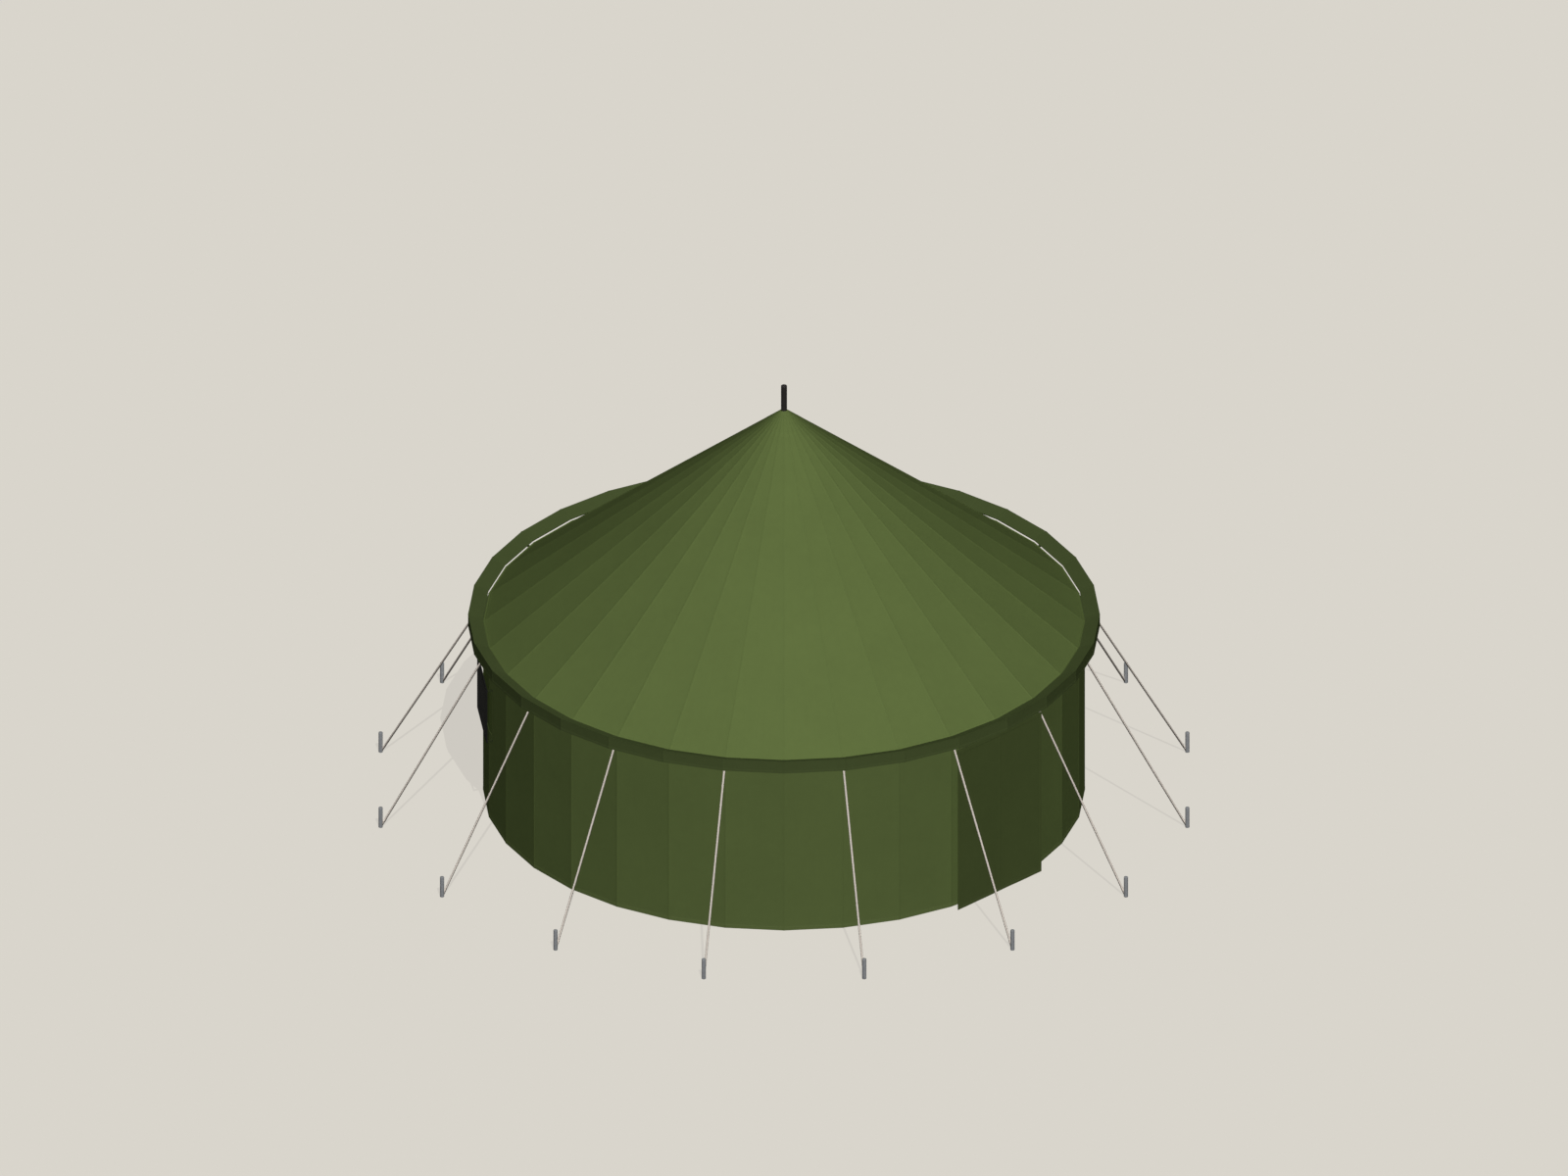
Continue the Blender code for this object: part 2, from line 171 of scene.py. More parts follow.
class Paint:
    def __init__(self, owner):  # a new material, or the world
        owner.use_nodes = True
        self.owner = owner
        self.tree = owner.node_tree
        self.tree.nodes.clear()

    def node(self, kind, settings=None, sockets=None):
        made = self.tree.nodes.new(kind)
        for key, value in (settings or {}).items():
            if key == "stops":
                self.setStops(made.color_ramp, value)
            else:
                setattr(made, key, value)
        for key, value in (sockets or {}).items():
            self.feed(made.inputs[key], value)
        return made

    def wire(self, kind, settings=None, sockets=None, output=0):
        return Wire(self, self.node(kind, settings, sockets).outputs[output])

    def feed(self, socket, value):
        if isinstance(value, Wire):
            self.tree.links.new(value.socket, socket)
        elif isinstance(value, tuple) and socket.type == "RGBA":
            socket.default_value = (*value, 1.0)
        else:
            socket.default_value = value

    def setStops(self, ramp, stops):
        while len(ramp.elements) < len(stops):
            ramp.elements.new(0.5)
        for element, (place, level) in zip(ramp.elements, stops):
            element.position = place
            element.color = (level, level, level, 1.0)

    def maths(self, operation, *values):
        return self.wire("ShaderNodeMath", {"operation": operation}, dict(enumerate(values)))

    def blend(self, share, first, second):      # of two colours, which are inputs 6 and 7
        return self.wire("ShaderNodeMix", {"data_type": "RGBA"}, {0: share, 6: first, 7: second}, 2)

    def noise(self, place, scale, detail, rough=0.5):
        return self.wire("ShaderNodeTexNoise", None, {"Vector": place, "Scale": scale,
                                                      "Detail": detail, "Roughness": rough})

    def stretched(self, place, factors):
        return self.wire("ShaderNodeVectorMath", {"operation": "MULTIPLY"}, {0: place, 1: factors})

    def axes(self, place):
        made = self.node("ShaderNodeSeparateXYZ", None, {0: place})
        return [Wire(self, socket) for socket in made.outputs]

    def ramp(self, value, start, end):
        return self.wire("ShaderNodeValToRGB", {"stops": [(start, 0.0), (end, 1.0)]}, {0: value})

    def where(self):            # the place in the tent
        return self.wire("ShaderNodeTexCoord", output="Object")

    def chart(self, name):      # "cut" or "edges", which the cloth builder draws
        return self.wire("ShaderNodeUVMap", {"uv_map": name})

    def mark(self, name):       # a number kept on each vertex
        return self.wire("ShaderNodeAttribute", {"attribute_name": name}, output="Fac")

    def bump(self, height, distance, strength):
        return self.wire("ShaderNodeBump", None, {"Height": height, "Distance": distance,
                                                  "Strength": strength})

    def close(self, sockets):
        shader = self.wire("ShaderNodeBsdfPrincipled", None, sockets)
        self.node("ShaderNodeOutputMaterial", None, {"Surface": shader})
        return self.owner


def newPaint(name):
    return Paint(bpy.data.materials.new(name))


def toned(colour, factor):
    return tuple(min(1.0, factor * c) for c in colour)


# Finishes

canvas = {
    "yarnPitch": 0.004,         # doubled yarns of the heavy duck
    "cloudDepth": 0.05,         # how far fading lightens and darkens the dye
    "runs": 0.1,                # strength of the run marks
    "runTone": 0.72,            # tones are shares of the dye's own colour
    "doubledTone": 1.06,
    "threadTone": 0.6,
    "threadWidth": 0.0022,
    "stitchLength": 0.012,
    "stitchHidden": 0.35,       # share of a stitch that lies inside the cloth
    "dust": 0.06,               # strength of the dust at the foot of the wall and the flap
    "dustHeight": 0.2,          # how high it climbs
    "dustColour": (0.26, 0.235, 0.17),
    # painted shade: the inner face of the cloth is darkened, since the lamps cast no shadow inside
    "insideShade": 0.42,        # how much darker the inner face is painted, a guess
    "roughness": 0.85,
}
seam = {
    "width": 0.030,             # flat-felled
    "foot": 0.006,              # it falls to the cloth over this, on both sides
    "lift": 0.0015,
    "rows": (0.004, 0.011),     # two rows of thread, this far in from its edge
    "halfLimit": 0.18,          # most that half of it takes of a narrow side, as a share
    "footLimit": 0.26,          # and the same with its foot
}
hems = {                        # widths of the doubled edges
    "roof": 0.07,
    "wall": 0.06,
    "valance": 0.035,
    "flap": 0.04,
}
hemFade = 0.004                 # a hem falls to the cloth over this
hemThread = 0.006               # and its row of thread lies this far in from its edge
hemp = {                        # tones of the guy ropes, as shares of the clean colour
    "yarnTones": (0.92, 1.08),
    "grooveShadeTone": 0.55,
    "grimeTone": 0.65,
    "underTone": 0.16,
}


def canvasPaint(name, colour, hemWidth, dust=0.0):
    # proofed cotton canvas: yarns and slubs, soft fading, run marks, seams and hems with stitching
    paint = newPaint(name)
    place = paint.where()
    cut = paint.chart("cut")
    across, along, unused = paint.axes(cut)
    fromSeam, fromHem, unused = paint.axes(paint.chart("edges"))
    yarn = 2 * math.pi / canvas["yarnPitch"]
    weave = (across * yarn).sine() * (along * yarn).sine()
    slub = paint.noise(paint.stretched(cut, (1.0, 7.0, 1.0)), 60.0, 2.0)
    crossSlub = paint.noise(paint.stretched(cut, (7.0, 1.0, 1.0)), 60.0, 2.0)
    cloud = paint.noise(place, 0.8, 4.0, 0.6)
    blotch = paint.noise(place, 7.0, 3.0, 0.6)
    shade = 0.5 + 1.6 * (cloud - 0.5) + 0.9 * (blotch - 0.5) + 0.5 * (slub + crossSlub - 1.0)
    deep = toned(colour, 1 - canvas["cloudDepth"])
    pale = toned(colour, 1 + canvas["cloudDepth"])
    base = paint.blend((shade + 0.12 * weave).held(), deep, pale)

    runs = paint.noise(paint.stretched(cut, (11.0, 0.4, 1.0)), 1.6, 4.0, 0.65)
    runs = canvas["runs"] * paint.ramp(runs, 0.5, 0.8)
    base = paint.blend(runs, base, toned(colour, canvas["runTone"]))

    doubled = paint.maths("MAXIMUM", fromSeam < seam["width"] / 2, fromHem < hemWidth)
    base = paint.blend(0.5 * doubled, base, toned(colour, canvas["doubledTone"]))
    edgeRow, innerRow = (fromSeam.closeTo(seam["width"] / 2 - inset, canvas["threadWidth"])
                         for inset in seam["rows"])
    hemRow = fromHem.closeTo(hemWidth - hemThread, canvas["threadWidth"])
    alongStitch = (along / canvas["stitchLength"]).part() > canvas["stitchHidden"]
    acrossStitch = (across / canvas["stitchLength"]).part() > canvas["stitchHidden"]
    thread = ((edgeRow + innerRow).held() * alongStitch + hemRow * acrossStitch).held()
    base = paint.blend(0.5 * thread, base, toned(colour, canvas["threadTone"]))
    # painted shade on the inner face, blended towards black
    base = paint.blend(canvas["insideShade"] * paint.mark("inside"), base, (0.0, 0.0, 0.0))

    if dust:
        height = paint.axes(place)[2]
        low = (1.0 - height / canvas["dustHeight"]).held() ** 1.7
        spots = 0.35 + 0.65 * paint.ramp(paint.noise(place, 9.0, 5.0, 0.65), 0.35, 0.7)
        base = paint.blend(dust * low * spots, base, canvas["dustColour"])

    rough = canvas["roughness"] + 0.1 * (cloud - 0.5) - 0.05 * doubled
    relief = 0.5 * weave + 1.4 * slub + 1.4 * crossSlub + 1.6 * thread
    return paint.close({"Base Color": base, "Roughness": rough,
                        "Normal": paint.bump(relief, 0.0006, 0.5), "Specular IOR Level": 0.05})


def steelPaint(name, colour, wornColour, metal, rough, studColour=None):
    # painted or galvanised steel: mottling, fine rub marks, and chips that show bare metal. The
    # studs between a window's frame and the wall can have a colour of their own.
    paint = newPaint(name)
    place = paint.where()
    mottle = paint.noise(place, 22.0, 4.0, 0.6)
    rub = paint.noise(paint.stretched(place, (1.0, 1.0, 0.1)), 220.0, 2.0)
    chips = paint.ramp(paint.noise(place, 55.0, 5.0, 0.7), 0.62, 0.7)
    base = paint.blend(paint.ramp(mottle, 0.3, 0.75), toned(colour, 0.9), toned(colour, 1.15))
    base = paint.blend(0.5 * chips, base, wornColour)
    if studColour:
        x, y, unused = paint.axes(place)
        a = math.radians(tent["windowTurn"])
        fromPole = abs(x) * math.sin(a) - y * math.cos(a)       # measured towards the window
        base = paint.blend(fromPole < tent["studEnd"], base, studColour)
    return paint.close({"Base Color": base, "Metallic": metal * (0.85 + 0.15 * mottle),
                        "Roughness": rough + 0.14 * (rub - 0.5) + 0.1 * (mottle - 0.5),
                        "Normal": paint.bump(rub + 2.0 * mottle, 0.0005, 0.4)})


def ropePaint(name, colour):
    # laid hemp: painted shade in the grooves between its strands, with yarns along each strand.
    # The dark underside is painted, and stands for the shading of the ropes in the picture.
    paint = newPaint(name)
    cut = paint.chart("cut")
    yarns = paint.noise(paint.stretched(cut, (240.0, 30.0, 1.0)), 1.0, 3.0)
    grime = paint.noise(paint.where(), 2.5, 4.0, 0.6)
    deep, pale = (toned(colour, tone) for tone in hemp["yarnTones"])
    base = paint.blend(paint.ramp(yarns, 0.3, 0.7), deep, pale)
    # painted shade in the grooves between the strands
    base = paint.blend(0.25 * paint.mark("groove"), base, toned(colour, hemp["grooveShadeTone"]))
    grime = 0.1 * paint.ramp(grime, 0.45, 0.75)
    base = paint.blend(grime, base, toned(colour, hemp["grimeTone"]))
    # painted shade on the underside
    base = paint.blend(paint.mark("under"), base, toned(colour, hemp["underTone"]))
    return paint.close({"Base Color": base, "Roughness": 0.92 - 0.08 * yarns,
                        "Normal": paint.bump(yarns, 0.0015, 0.6), "Specular IOR Level": 0.15})


def netPaint(name, colour):
    # black window netting on a dark backing sheet that stands in for the shade inside the tent
    paint = newPaint(name)
    dust = paint.noise(paint.where(), 5.0, 4.0, 0.6)
    fibre = paint.noise(paint.where(), 300.0, 2.0)
    base = paint.blend(0.5 * paint.ramp(dust, 0.45, 0.75), colour, toned(colour, 1.5))
    return paint.close({"Base Color": base, "Roughness": 0.8 + 0.1 * (fibre - 0.5),
                        "Normal": paint.bump(fibre, 0.0006, 0.4), "Specular IOR Level": 0.15})


finishes = {
    "roof": canvasPaint("roofCanvas", (0.1257, 0.172, 0.0523), hems["roof"]),
    "wall": canvasPaint("wallCanvas", (0.1272, 0.1722, 0.0543), hems["wall"], canvas["dust"]),
    "valance": canvasPaint("valanceCanvas", (0.0802, 0.108, 0.0365), hems["valance"]),
    "flap": canvasPaint("flapCanvas", (0.0832, 0.1115, 0.0355), hems["flap"], canvas["dust"]),
    "net": netPaint("windowNet", (0.0168, 0.0168, 0.0148)),
    "frame": steelPaint("framePaint", (0.015, 0.015, 0.0138), (0.04, 0.04, 0.04), 0.0, 0.55,
                        studColour=(0.028, 0.038, 0.012)),
    "pole": steelPaint("polePaint", (0.0332, 0.0286, 0.0282), (0.08, 0.07, 0.06), 0.0, 0.5),
    "hoop": steelPaint("hoopPaint", (0.06, 0.078, 0.03), (0.2, 0.2, 0.18), 0.0, 0.5),
    "collar": steelPaint("collarZinc", (0.36, 0.37, 0.38), (0.5, 0.5, 0.5), 0.8, 0.42),
    "stake": steelPaint("stakeSteel", (0.375, 0.388, 0.402), (0.45, 0.45, 0.45), 0.1, 0.6),
    "rope": ropePaint("guyHemp", (0.89, 0.802, 0.712)),
}
print("finishes made:", len(finishes))


def dress(obj, finish, node):
    obj.data.materials.append(finishes[finish])
    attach(obj, "root")
    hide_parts(node)


# Cloth: closed shells with an outer and an inner face, and two charts for the canvas finish.
# "cut" is the place on the flat cloth, "edges" the distance from the nearest seam and hem.

leastColumn = 0.0008            # columns of vertices closer than this are one, in sides of the ring
leastRow = 0.0009               # and rows, in metres


def buildShell(name, columnCount, rowCount, outer, inner, cut, edges, isHole=None, closed=False):
    work = bmesh.new()
    cutChart = work.loops.layers.uv.new("cut")
    edgeChart = work.loops.layers.uv.new("edges")
    insideMark = work.verts.layers.float.new("inside")
    around = columnCount - 1 if closed else columnCount     # a closed ring shares its last column

    def addGrid(surface, inside):
        grid = [[work.verts.new(surface(c, r)) for c in range(around)] for r in range(rowCount)]
        for row in grid:
            for vert in row:
                vert[insideMark] = inside
        return grid

    outerGrid = addGrid(outer, 0.0)
    innerGrid = addGrid(inner, 1.0)
    under = {}
    for outerRow, innerRow in zip(outerGrid, innerGrid):
        under.update(zip(outerRow, innerRow))
    for r in range(rowCount - 1):
        for c in range(columnCount - 1):
            if isHole and isHole(c, r):
                continue
            spots = [(c, r), (c, r + 1), (c + 1, r + 1), (c + 1, r)]
            for grid, order in ((outerGrid, spots), (innerGrid, spots[::-1])):
                face = work.faces.new([grid[j][i % around] for i, j in order])
                face.smooth = True
                for loop, (i, j) in zip(face.loops, order):
                    loop[cutChart].uv = cut(i, j, c)
                    loop[edgeChart].uv = edges(i, j)
    rims = [e for e in work.edges if len(e.link_faces) == 1 and e.verts[0] in under]
    for edge in rims:
        ends = (edge.link_loops[0], edge.link_loops[0].link_loop_next)
        charts = {loop.vert: (loop[cutChart].uv.copy(), loop[edgeChart].uv.copy()) for loop in ends}
        start, end = (loop.vert for loop in ends)
        face = work.faces.new((end, start, under[start], under[end]))
        face.smooth = True
        for loop, source in zip(face.loops, (end, start, start, end)):
            loop[cutChart].uv, loop[edgeChart].uv = charts[source]
    loose = [v for v in work.verts if not v.link_faces]
    bmesh.ops.delete(work, geom=loose, context="VERTS")
    work.normal_update()
    return meshObject(name, work, tent["ridge"])


def spread(start, end, count):
    return [start + (end - start) * i / count for i in range(count + 1)]


def merged(places, least):
    kept = []
    for place in sorted(places):
        if not kept or place - kept[-1] > least:
            kept.append(place)
    return kept


def corner(number):
    return Vector((math.cos(number * stepAngle), math.sin(number * stepAngle), 0))


def ringPoint(place, radius, height):
    # a place of 2.5 is the middle of the third side
    side = math.floor(place)
    point = corner(side).lerp(corner(side + 1), place - side) * radius
    point.z = height
    return point


def sideLength(radius):
    return 2 * radius * math.sin(stepAngle / 2)


def seamShape(length):
    # half width and foot of a seam, as shares of a side of this length
    half = min(seam["width"] / 2 / length, seam["halfLimit"])
    return half, min(half + seam["foot"] / length, seam["footLimit"])


def ringColumns(first, last, length, extras=()):
    half, foot = seamShape(length)
    quarter = (foot + 0.5) / 2
    places = [first, last, *extras]
    spots = [first, last] + list(range(math.ceil(first), math.floor(last) + 1))
    for spot in spots:
        places += [spot + offset for offset in (-foot, -half, 0, half, foot)]
    for side in range(math.floor(first), math.ceil(last)):
        places += [side + quarter, side + 0.5, side + 1 - quarter]
    return merged([p for p in places if first - 1e-9 <= p <= last + 1e-9], leastColumn)


def seamGap(place, first, last):
    # how far the nearest corner or end is, in sides
    return min(abs(place - round(place)), place - first, last - place)


def seamRise(gap, length):
    half, foot = seamShape(length)
    if gap <= half + 1e-6:
        return seam["lift"]
    if gap >= foot - 1e-6:
        return 0.0
    return seam["lift"] * (foot - gap) / (foot - half)


def hemRise(distance, width, lift):
    # all of the lift under a hem, and none past its fade
    return lift * held((width + hemFade - distance) / hemFade)


def bentLine(corners, spacing, extras=()):
    # stations down a bent line of (radius, height) corners: radius, height, outward share, upward
    # share, and the distance from its start
    legs = []
    for (r0, z0), (r1, z1) in zip(corners, corners[1:]):
        run = (r1 - r0) * cosHalf
        length = math.hypot(run, z1 - z0)
        legs.append((length, (z0 - z1) / length, run / length))
    total = sum(leg[0] for leg in legs)
    bends = [sum(leg[0] for leg in legs[:i]) for i in range(len(legs) + 1)]
    steps = [p for start, end in zip(bends, bends[1:])
             for p in spread(start, end, max(1, math.ceil((end - start) / spacing)))]
    stations = []
    for place in merged(steps + [p for p in extras if 0 < p < total], leastRow):
        number = max(i for i in range(len(legs)) if place >= bends[i] - 1e-6)
        share = (place - bends[number]) / legs[number][0]
        (r0, z0), (r1, z1) = corners[number], corners[number + 1]
        outward, upward = legs[number][1:]
        if number and share < 1e-4:                 # on a bend, square to neither leg
            before = legs[number - 1][1:]
            scale = 1 + outward * before[0] + upward * before[1]
            outward = (outward + before[0]) / scale
            upward = (upward + before[1]) / scale
        stations.append((r0 + (r1 - r0) * share, z0 + (z1 - z0) * share, outward, upward, place))
    return stations


def ringSheet(name, stations, first, last, rise, hemGap, padding=None, calm=None, hole=None):
    # a sheet stretched over the many-sided ring, from place first to place last. A hole is a pair
    # of places and a pair of heights.
    closed = last - first == tent["sides"]
    lengths = [sideLength(station[0]) for station in stations]
    table = [ringColumns(first, last, length, hole[0] if hole else ()) for length in lengths]

    def point(c, r, offset):
        radius, height, outward, upward, along = stations[r]
        radius = max(radius + offset * outward / cosHalf, tent["poleGap"])
        return ringPoint(table[r][c], radius, height + offset * upward)

    def outer(c, r):
        place = table[r][c]
        gap = seamGap(place, first, last)
        hold = calm(place, stations[r][1]) if calm else 1.0
        return point(c, r, rise(place, r) + hold * seamRise(gap, lengths[r]))

    def inner(c, r):
        place = table[r][c]
        fromSeam = seamGap(place, first, last) * lengths[r]
        pad = padding(fromSeam, place, stations[r][4]) if padding else 0.0
        return point(c, r, min(rise(place, r), 0.0) - tent["cloth"] - pad)

    def cut(c, r, faceColumn):
        side = math.floor((table[r][faceColumn] + table[r][faceColumn + 1]) / 2)
        return (side + (table[r][c] - side - 0.5) * lengths[r], stations[r][4])

    def edges(c, r):
        return (seamGap(table[r][c], first, last) * lengths[r], hemGap(stations[r][4]))

    def isHole(c, r):
        (start, end), (low, high) = hole
        middle = (table[r][c] + table[r][c + 1]) / 2
        return start < middle < end and low < (stations[r][1] + stations[r + 1][1]) / 2 < high

    return buildShell(name, len(table[0]), len(stations), outer, inner, cut, edges,
                      isHole if hole else None, closed)


# Roof canopy

roof = {
    "apexHeight": 7.14,
    "hemLift": 0.0015,
    "boltWidth": 0.024,         # bolt rope sewn into the rim, under the valance's edge
    "boltLift": 0.0115,
    "crown": 0.42,              # doubled cloth this far down from the pole
    "crownLift": 0.002,
    "crownBand": 0.05,          # it looks doubled this far from its end
    "sag": 0.003,               # how far the middle of a gore is drawn in, at the rim's width
    "tautEdge": 0.3,            # the gores flatten out over this, down to the rim
    "padEnd": 0.15,             # the pad on the crown collar reaches this far from the pole
    "padFade": 0.02,
    "rowSpacing": 0.14,
}


def makeRoof():
    slope = (roof["apexHeight"] - tent["rimHeight"]) / (tent["radius"] - tent["poleRadius"])
    top = roof["apexHeight"] - slope * (tent["poleGap"] - tent["poleRadius"])
    line = [(tent["poleGap"], top), (tent["radius"], tent["rimHeight"])]
    length = math.hypot((line[1][0] - line[0][0]) * cosHalf, line[1][1] - line[0][1])
    hem, crown, padFoot = hems["roof"], roof["crown"], roof["padEnd"] + roof["padFade"]
    hemStart = length - hem
    boltStart = length - roof["boltWidth"]
    stations = bentLine(line, roof["rowSpacing"],
                        (roof["padEnd"], padFoot, crown, crown + hemFade,
                         hemStart - hemFade, hemStart, boltStart - hemFade, boltStart))

    def rise(place, r):
        along = stations[r][4]
        share = place - math.floor(place)
        belly = 4 * share * (1 - share) * stations[r][0] / tent["radius"]
        belly *= held((length - along) / roof["tautEdge"])
        return (hemRise(length - along, hem, roof["hemLift"])
                + hemRise(length - along, roof["boltWidth"], roof["boltLift"])
                + hemRise(along, crown, roof["crownLift"]) - roof["sag"] * belly)

    def padding(fromSeam, place, along):
        return tent["pad"] * held((padFoot - along) / roof["padFade"])

    def hemGap(along):
        # the crown's doubled cloth ends in a row of stitching too
        return min(length - along, abs(crown - along) + hem - roof["crownBand"])

    canopy = ringSheet("roofCanopy", stations, 0, tent["sides"], rise, hemGap, padding)
    dress(canopy, "roof", "roof_canopy")
    goreArea = tent["sides"] * 0.5 * sideLength(tent["radius"]) * length
    # laid out flat side by side, the gores lie within a square of this size
    print("roof made, cloth", round(goreArea, 1), "square metres")


makeRoof()


# Valance: a flare out from the rim, and a skirt down in front of the hoop

valance = {
    "innerEdge": (5.008, 3.211),
    "shoulder": (5.25, 3.303),
    "bottom": 3.085,
    "hemLift": 0.002,
    "edgeBand": 0.005,          # the inner edge looks doubled over this
    "foldWidth": 0.012,         # the fold at the shoulder stands out a little
    "foldLift": 0.001,
    "roll": 0.014,              # how far the rolled inner edge reaches below the cloth
    "rollWidth": 0.02,
    "rollFade": 0.006,
    "padLow": 3.1,              # pads behind the skirt, on the hoop's brackets
    "padHigh": 3.26,
    "padFade": 0.01,
    "lengths": 4,               # sewn from this many lengths of cloth
    "joinGap": 0.0003,          # between two lengths, in sides
    "rowSpacing": 0.06,
}


def makeValance():
    line = [valance["innerEdge"], valance["shoulder"], (valance["shoulder"][0], valance["bottom"])]
    flare = math.hypot((line[1][0] - line[0][0]) * cosHalf, line[1][1] - line[0][1])
    total = flare + line[1][1] - line[2][1]
    hem, fold = hems["valance"], valance["foldWidth"]
    rollFoot = valance["rollWidth"] + valance["rollFade"]
    padTop = flare + line[1][1] - valance["padHigh"]
    padFoot = flare + line[1][1] - valance["padLow"]
    stations = bentLine(line, valance["rowSpacing"],
                        (valance["rollWidth"], rollFoot, flare - fold, flare + fold,
                         padTop - valance["padFade"], padTop, padFoot, padFoot + valance["padFade"],
                         total - hem - hemFade, total - hem))

    def rise(place, r):
        along = stations[r][4]
        return (hemRise(total - along, hem, valance["hemLift"])
                + hemRise(abs(along - flare), fold, valance["foldLift"]))

    def padding(fromSeam, place, along):
        onBracket = (round(place) - doorPlace) % 2 == 1 and fromSeam < seam["width"] / 2 + 1e-4
        if onBracket and padTop - 1e-4 < along < padFoot + 1e-4:
            return tent["pad"]
        return valance["roll"] * held((rollFoot - along) / valance["rollFade"])

    def hemGap(along):
        return min(total - along, along + hem - valance["edgeBand"])

    perLength = tent["sides"] // valance["lengths"]
    for number in range(valance["lengths"]):
        first = doorPlace + number * perLength
        skirt = ringSheet("valanceLength%d" % (number + 1), stations, first + valance["joinGap"],
                          first + perLength, rise, hemGap, padding)
        dress(skirt, "valance", "eave_valance")
        perLength * sideLength(valance["shoulder"][0])
    print("valance made in", valance["lengths"], "lengths")


makeValance()


# Wall: sheets of four sides, with the doorway and the two window holes

wall = {
    "top": 3.1553,              # laced up under the roof's rim
    "hemLift": 0.002,
    "sag": 0.003,               # how far the middle of a side is drawn in
    "sheetSides": 4,
    "doorHalfWidth": 0.78,
    "doorHeight": 2.7,
    "hoopHeight": 3.072,
    "hoopCalm": 0.03,           # the cloth lies flat this far round the hoop
    "rowSpacing": 0.16,
    "joinGap": 0.00015,         # half the gap between two sheets, in sides
}
window = {
    "distance": 5.05,           # from the pole to the middle of the pane
    "width": 1.19,
    "height": 0.89,
    "middleHeight": 2.023,
    "calmEdge": 0.07,           # the cloth lies flat this far round the window,
    "calmFade": 0.12,           # and has its own shape again this much further out
    "holeHalfWidth": 0.545,
    "holeHeights": (1.628, 2.418),
    "meshPitch": 0.02,
    "strand": 0.0022,
    # the dark backing sheet stands in for the shade inside the tent
    "backing": (-0.002, 0.0005),        # the blackout layer's back and front, from the middle
    "uprights": (0.0008, 0.0028),       # and those of the netting
    "crossStrands": (0.0018, 0.0038),
}
wallSheets = {                  # the place where each starts
    "wall_right": -2,
    "wall_back_right": 2,
    "wall_back": 6,
    "wall_back_left": 10,
    "wall_left": 14,
    "wall_front_left": 18,
    "wall_front_right": 26,
}
windowWalls = {"wall_back_left": -1, "wall_back_right": 1}


def windowAxes(side):
    direction = math.radians(doorDirection + side * tent["windowTurn"])
    return (Vector((math.cos(direction), math.sin(direction), 0)),
            Vector((-math.sin(direction), math.cos(direction), 0)))


def acrossWindow(place, side):
    # how far a place on the wall lies from the window's middle line
    point = ringPoint(place, tent["radius"], 0)
    outward, sideways = windowAxes(side)
    return point.dot(sideways) if point.dot(outward) > 0 else math.inf


def placeAcross(distance, side):
    middle = (doorDirection + side * tent["windowTurn"]) / math.degrees(stepAngle)
    low, high = middle - 2, middle + 2
    for step in range(50):
        half = (low + high) / 2
        if acrossWindow(half, side) < distance:
            low = half
        else:
            high = half
    return low % tent["sides"]


def wallCalm(place, height):
    # 0 behind the hoop and behind a window's frame, where the cloth lies flat
    below = wall["hoopHeight"] - height - wall["hoopCalm"]
    aside = min(abs(acrossWindow(place, side)) for side in (-1, 1)) - window["width"] / 2
    above = abs(height - window["middleHeight"]) - window["height"] / 2
    fromWindow = max(aside, above) - window["calmEdge"]
    return held(below / wall["hoopCalm"]) * held(fromWindow / window["calmFade"])


def makeWallSheet(name, node, first, last, low=0.0, hole=None):
    line = [(tent["radius"], wall["top"]), (tent["radius"], low)]
    length = wall["top"] - low
    hem = hems["wall"]
    heights = [wall["hoopHeight"] - 2 * wall["hoopCalm"], wall["hoopHeight"] - wall["hoopCalm"]]
    if hole:
        heights += hole[1]
    stations = bentLine(line, wall["rowSpacing"],
                        [length - hem - hemFade, length - hem, hem, hem + hemFade, length / 2]
                        + [wall["top"] - height for height in heights])

    def rise(place, r):
        along = stations[r][4]
        share = place - math.floor(place)
        belly = 0.0
        if 0 < along < length:
            belly = 4 * share * (1 - share) * math.sin(math.pi * along / length) ** 0.5
        hemmed = hemRise(length - along, hem, wall["hemLift"])
        return wallCalm(place, stations[r][1]) * (hemmed - wall["sag"] * belly)

    def hemGap(along):
        return min(along, length - along)

    sheet = ringSheet(name, stations, first, last, rise, hemGap, calm=wallCalm, hole=hole)
    dress(sheet, "wall", node)
    (last - first) * sideLength(tent["radius"])


def makeWall():
    gap, halfHole = wall["joinGap"], window["holeHalfWidth"]
    for node, first in wallSheets.items():
        words = node.split("_")
        name = words[0] + "".join(word.capitalize() for word in words[1:])
        hole = None
        if node in windowWalls:
            ends = [placeAcross(across, windowWalls[node]) for across in (-halfHole, halfHole)]
            hole = (ends, window["holeHeights"])
        makeWallSheet(name, node, first + gap, first + wall["sheetSides"] - gap, hole=hole)
    jamb = wall["doorHalfWidth"] / (tent["radius"] * math.sin(stepAngle))
    half = wall["sheetSides"] // 2
    makeWallSheet("wallDoorLeft", "wall_door_left", doorPlace - half + gap, doorPlace - jamb)
    makeWallSheet("wallDoorRight", "wall_door_right", doorPlace + jamb, doorPlace + half - gap)
    makeWallSheet("wallDoorHead", "wall_door_head", doorPlace - jamb + gap, doorPlace + jamb - gap,
                  wall["doorHeight"])
    print("wall made in", len(wallSheets) + 3, "sheets")


makeWall()


# Door flap: hangs from its rail in front of the doorway

flap = {
    "halfWidth": 0.98,
    "height": 2.992,
    "front": -5.075,
    "back": -5.055,             # against the rail
    "thickness": 0.006,
    "sleeve": 0.075,            # sewn channel at the top that the rail sits in
    "sleeveBand": 0.01,         # it looks doubled this far from its foot
    "hemLift": 0.002,
    "wave": 0.0035,             # depth of the soft folds, at the foot
    "columns": 40,
    "rows": 36,
    "leastStep": 0.0015,
}


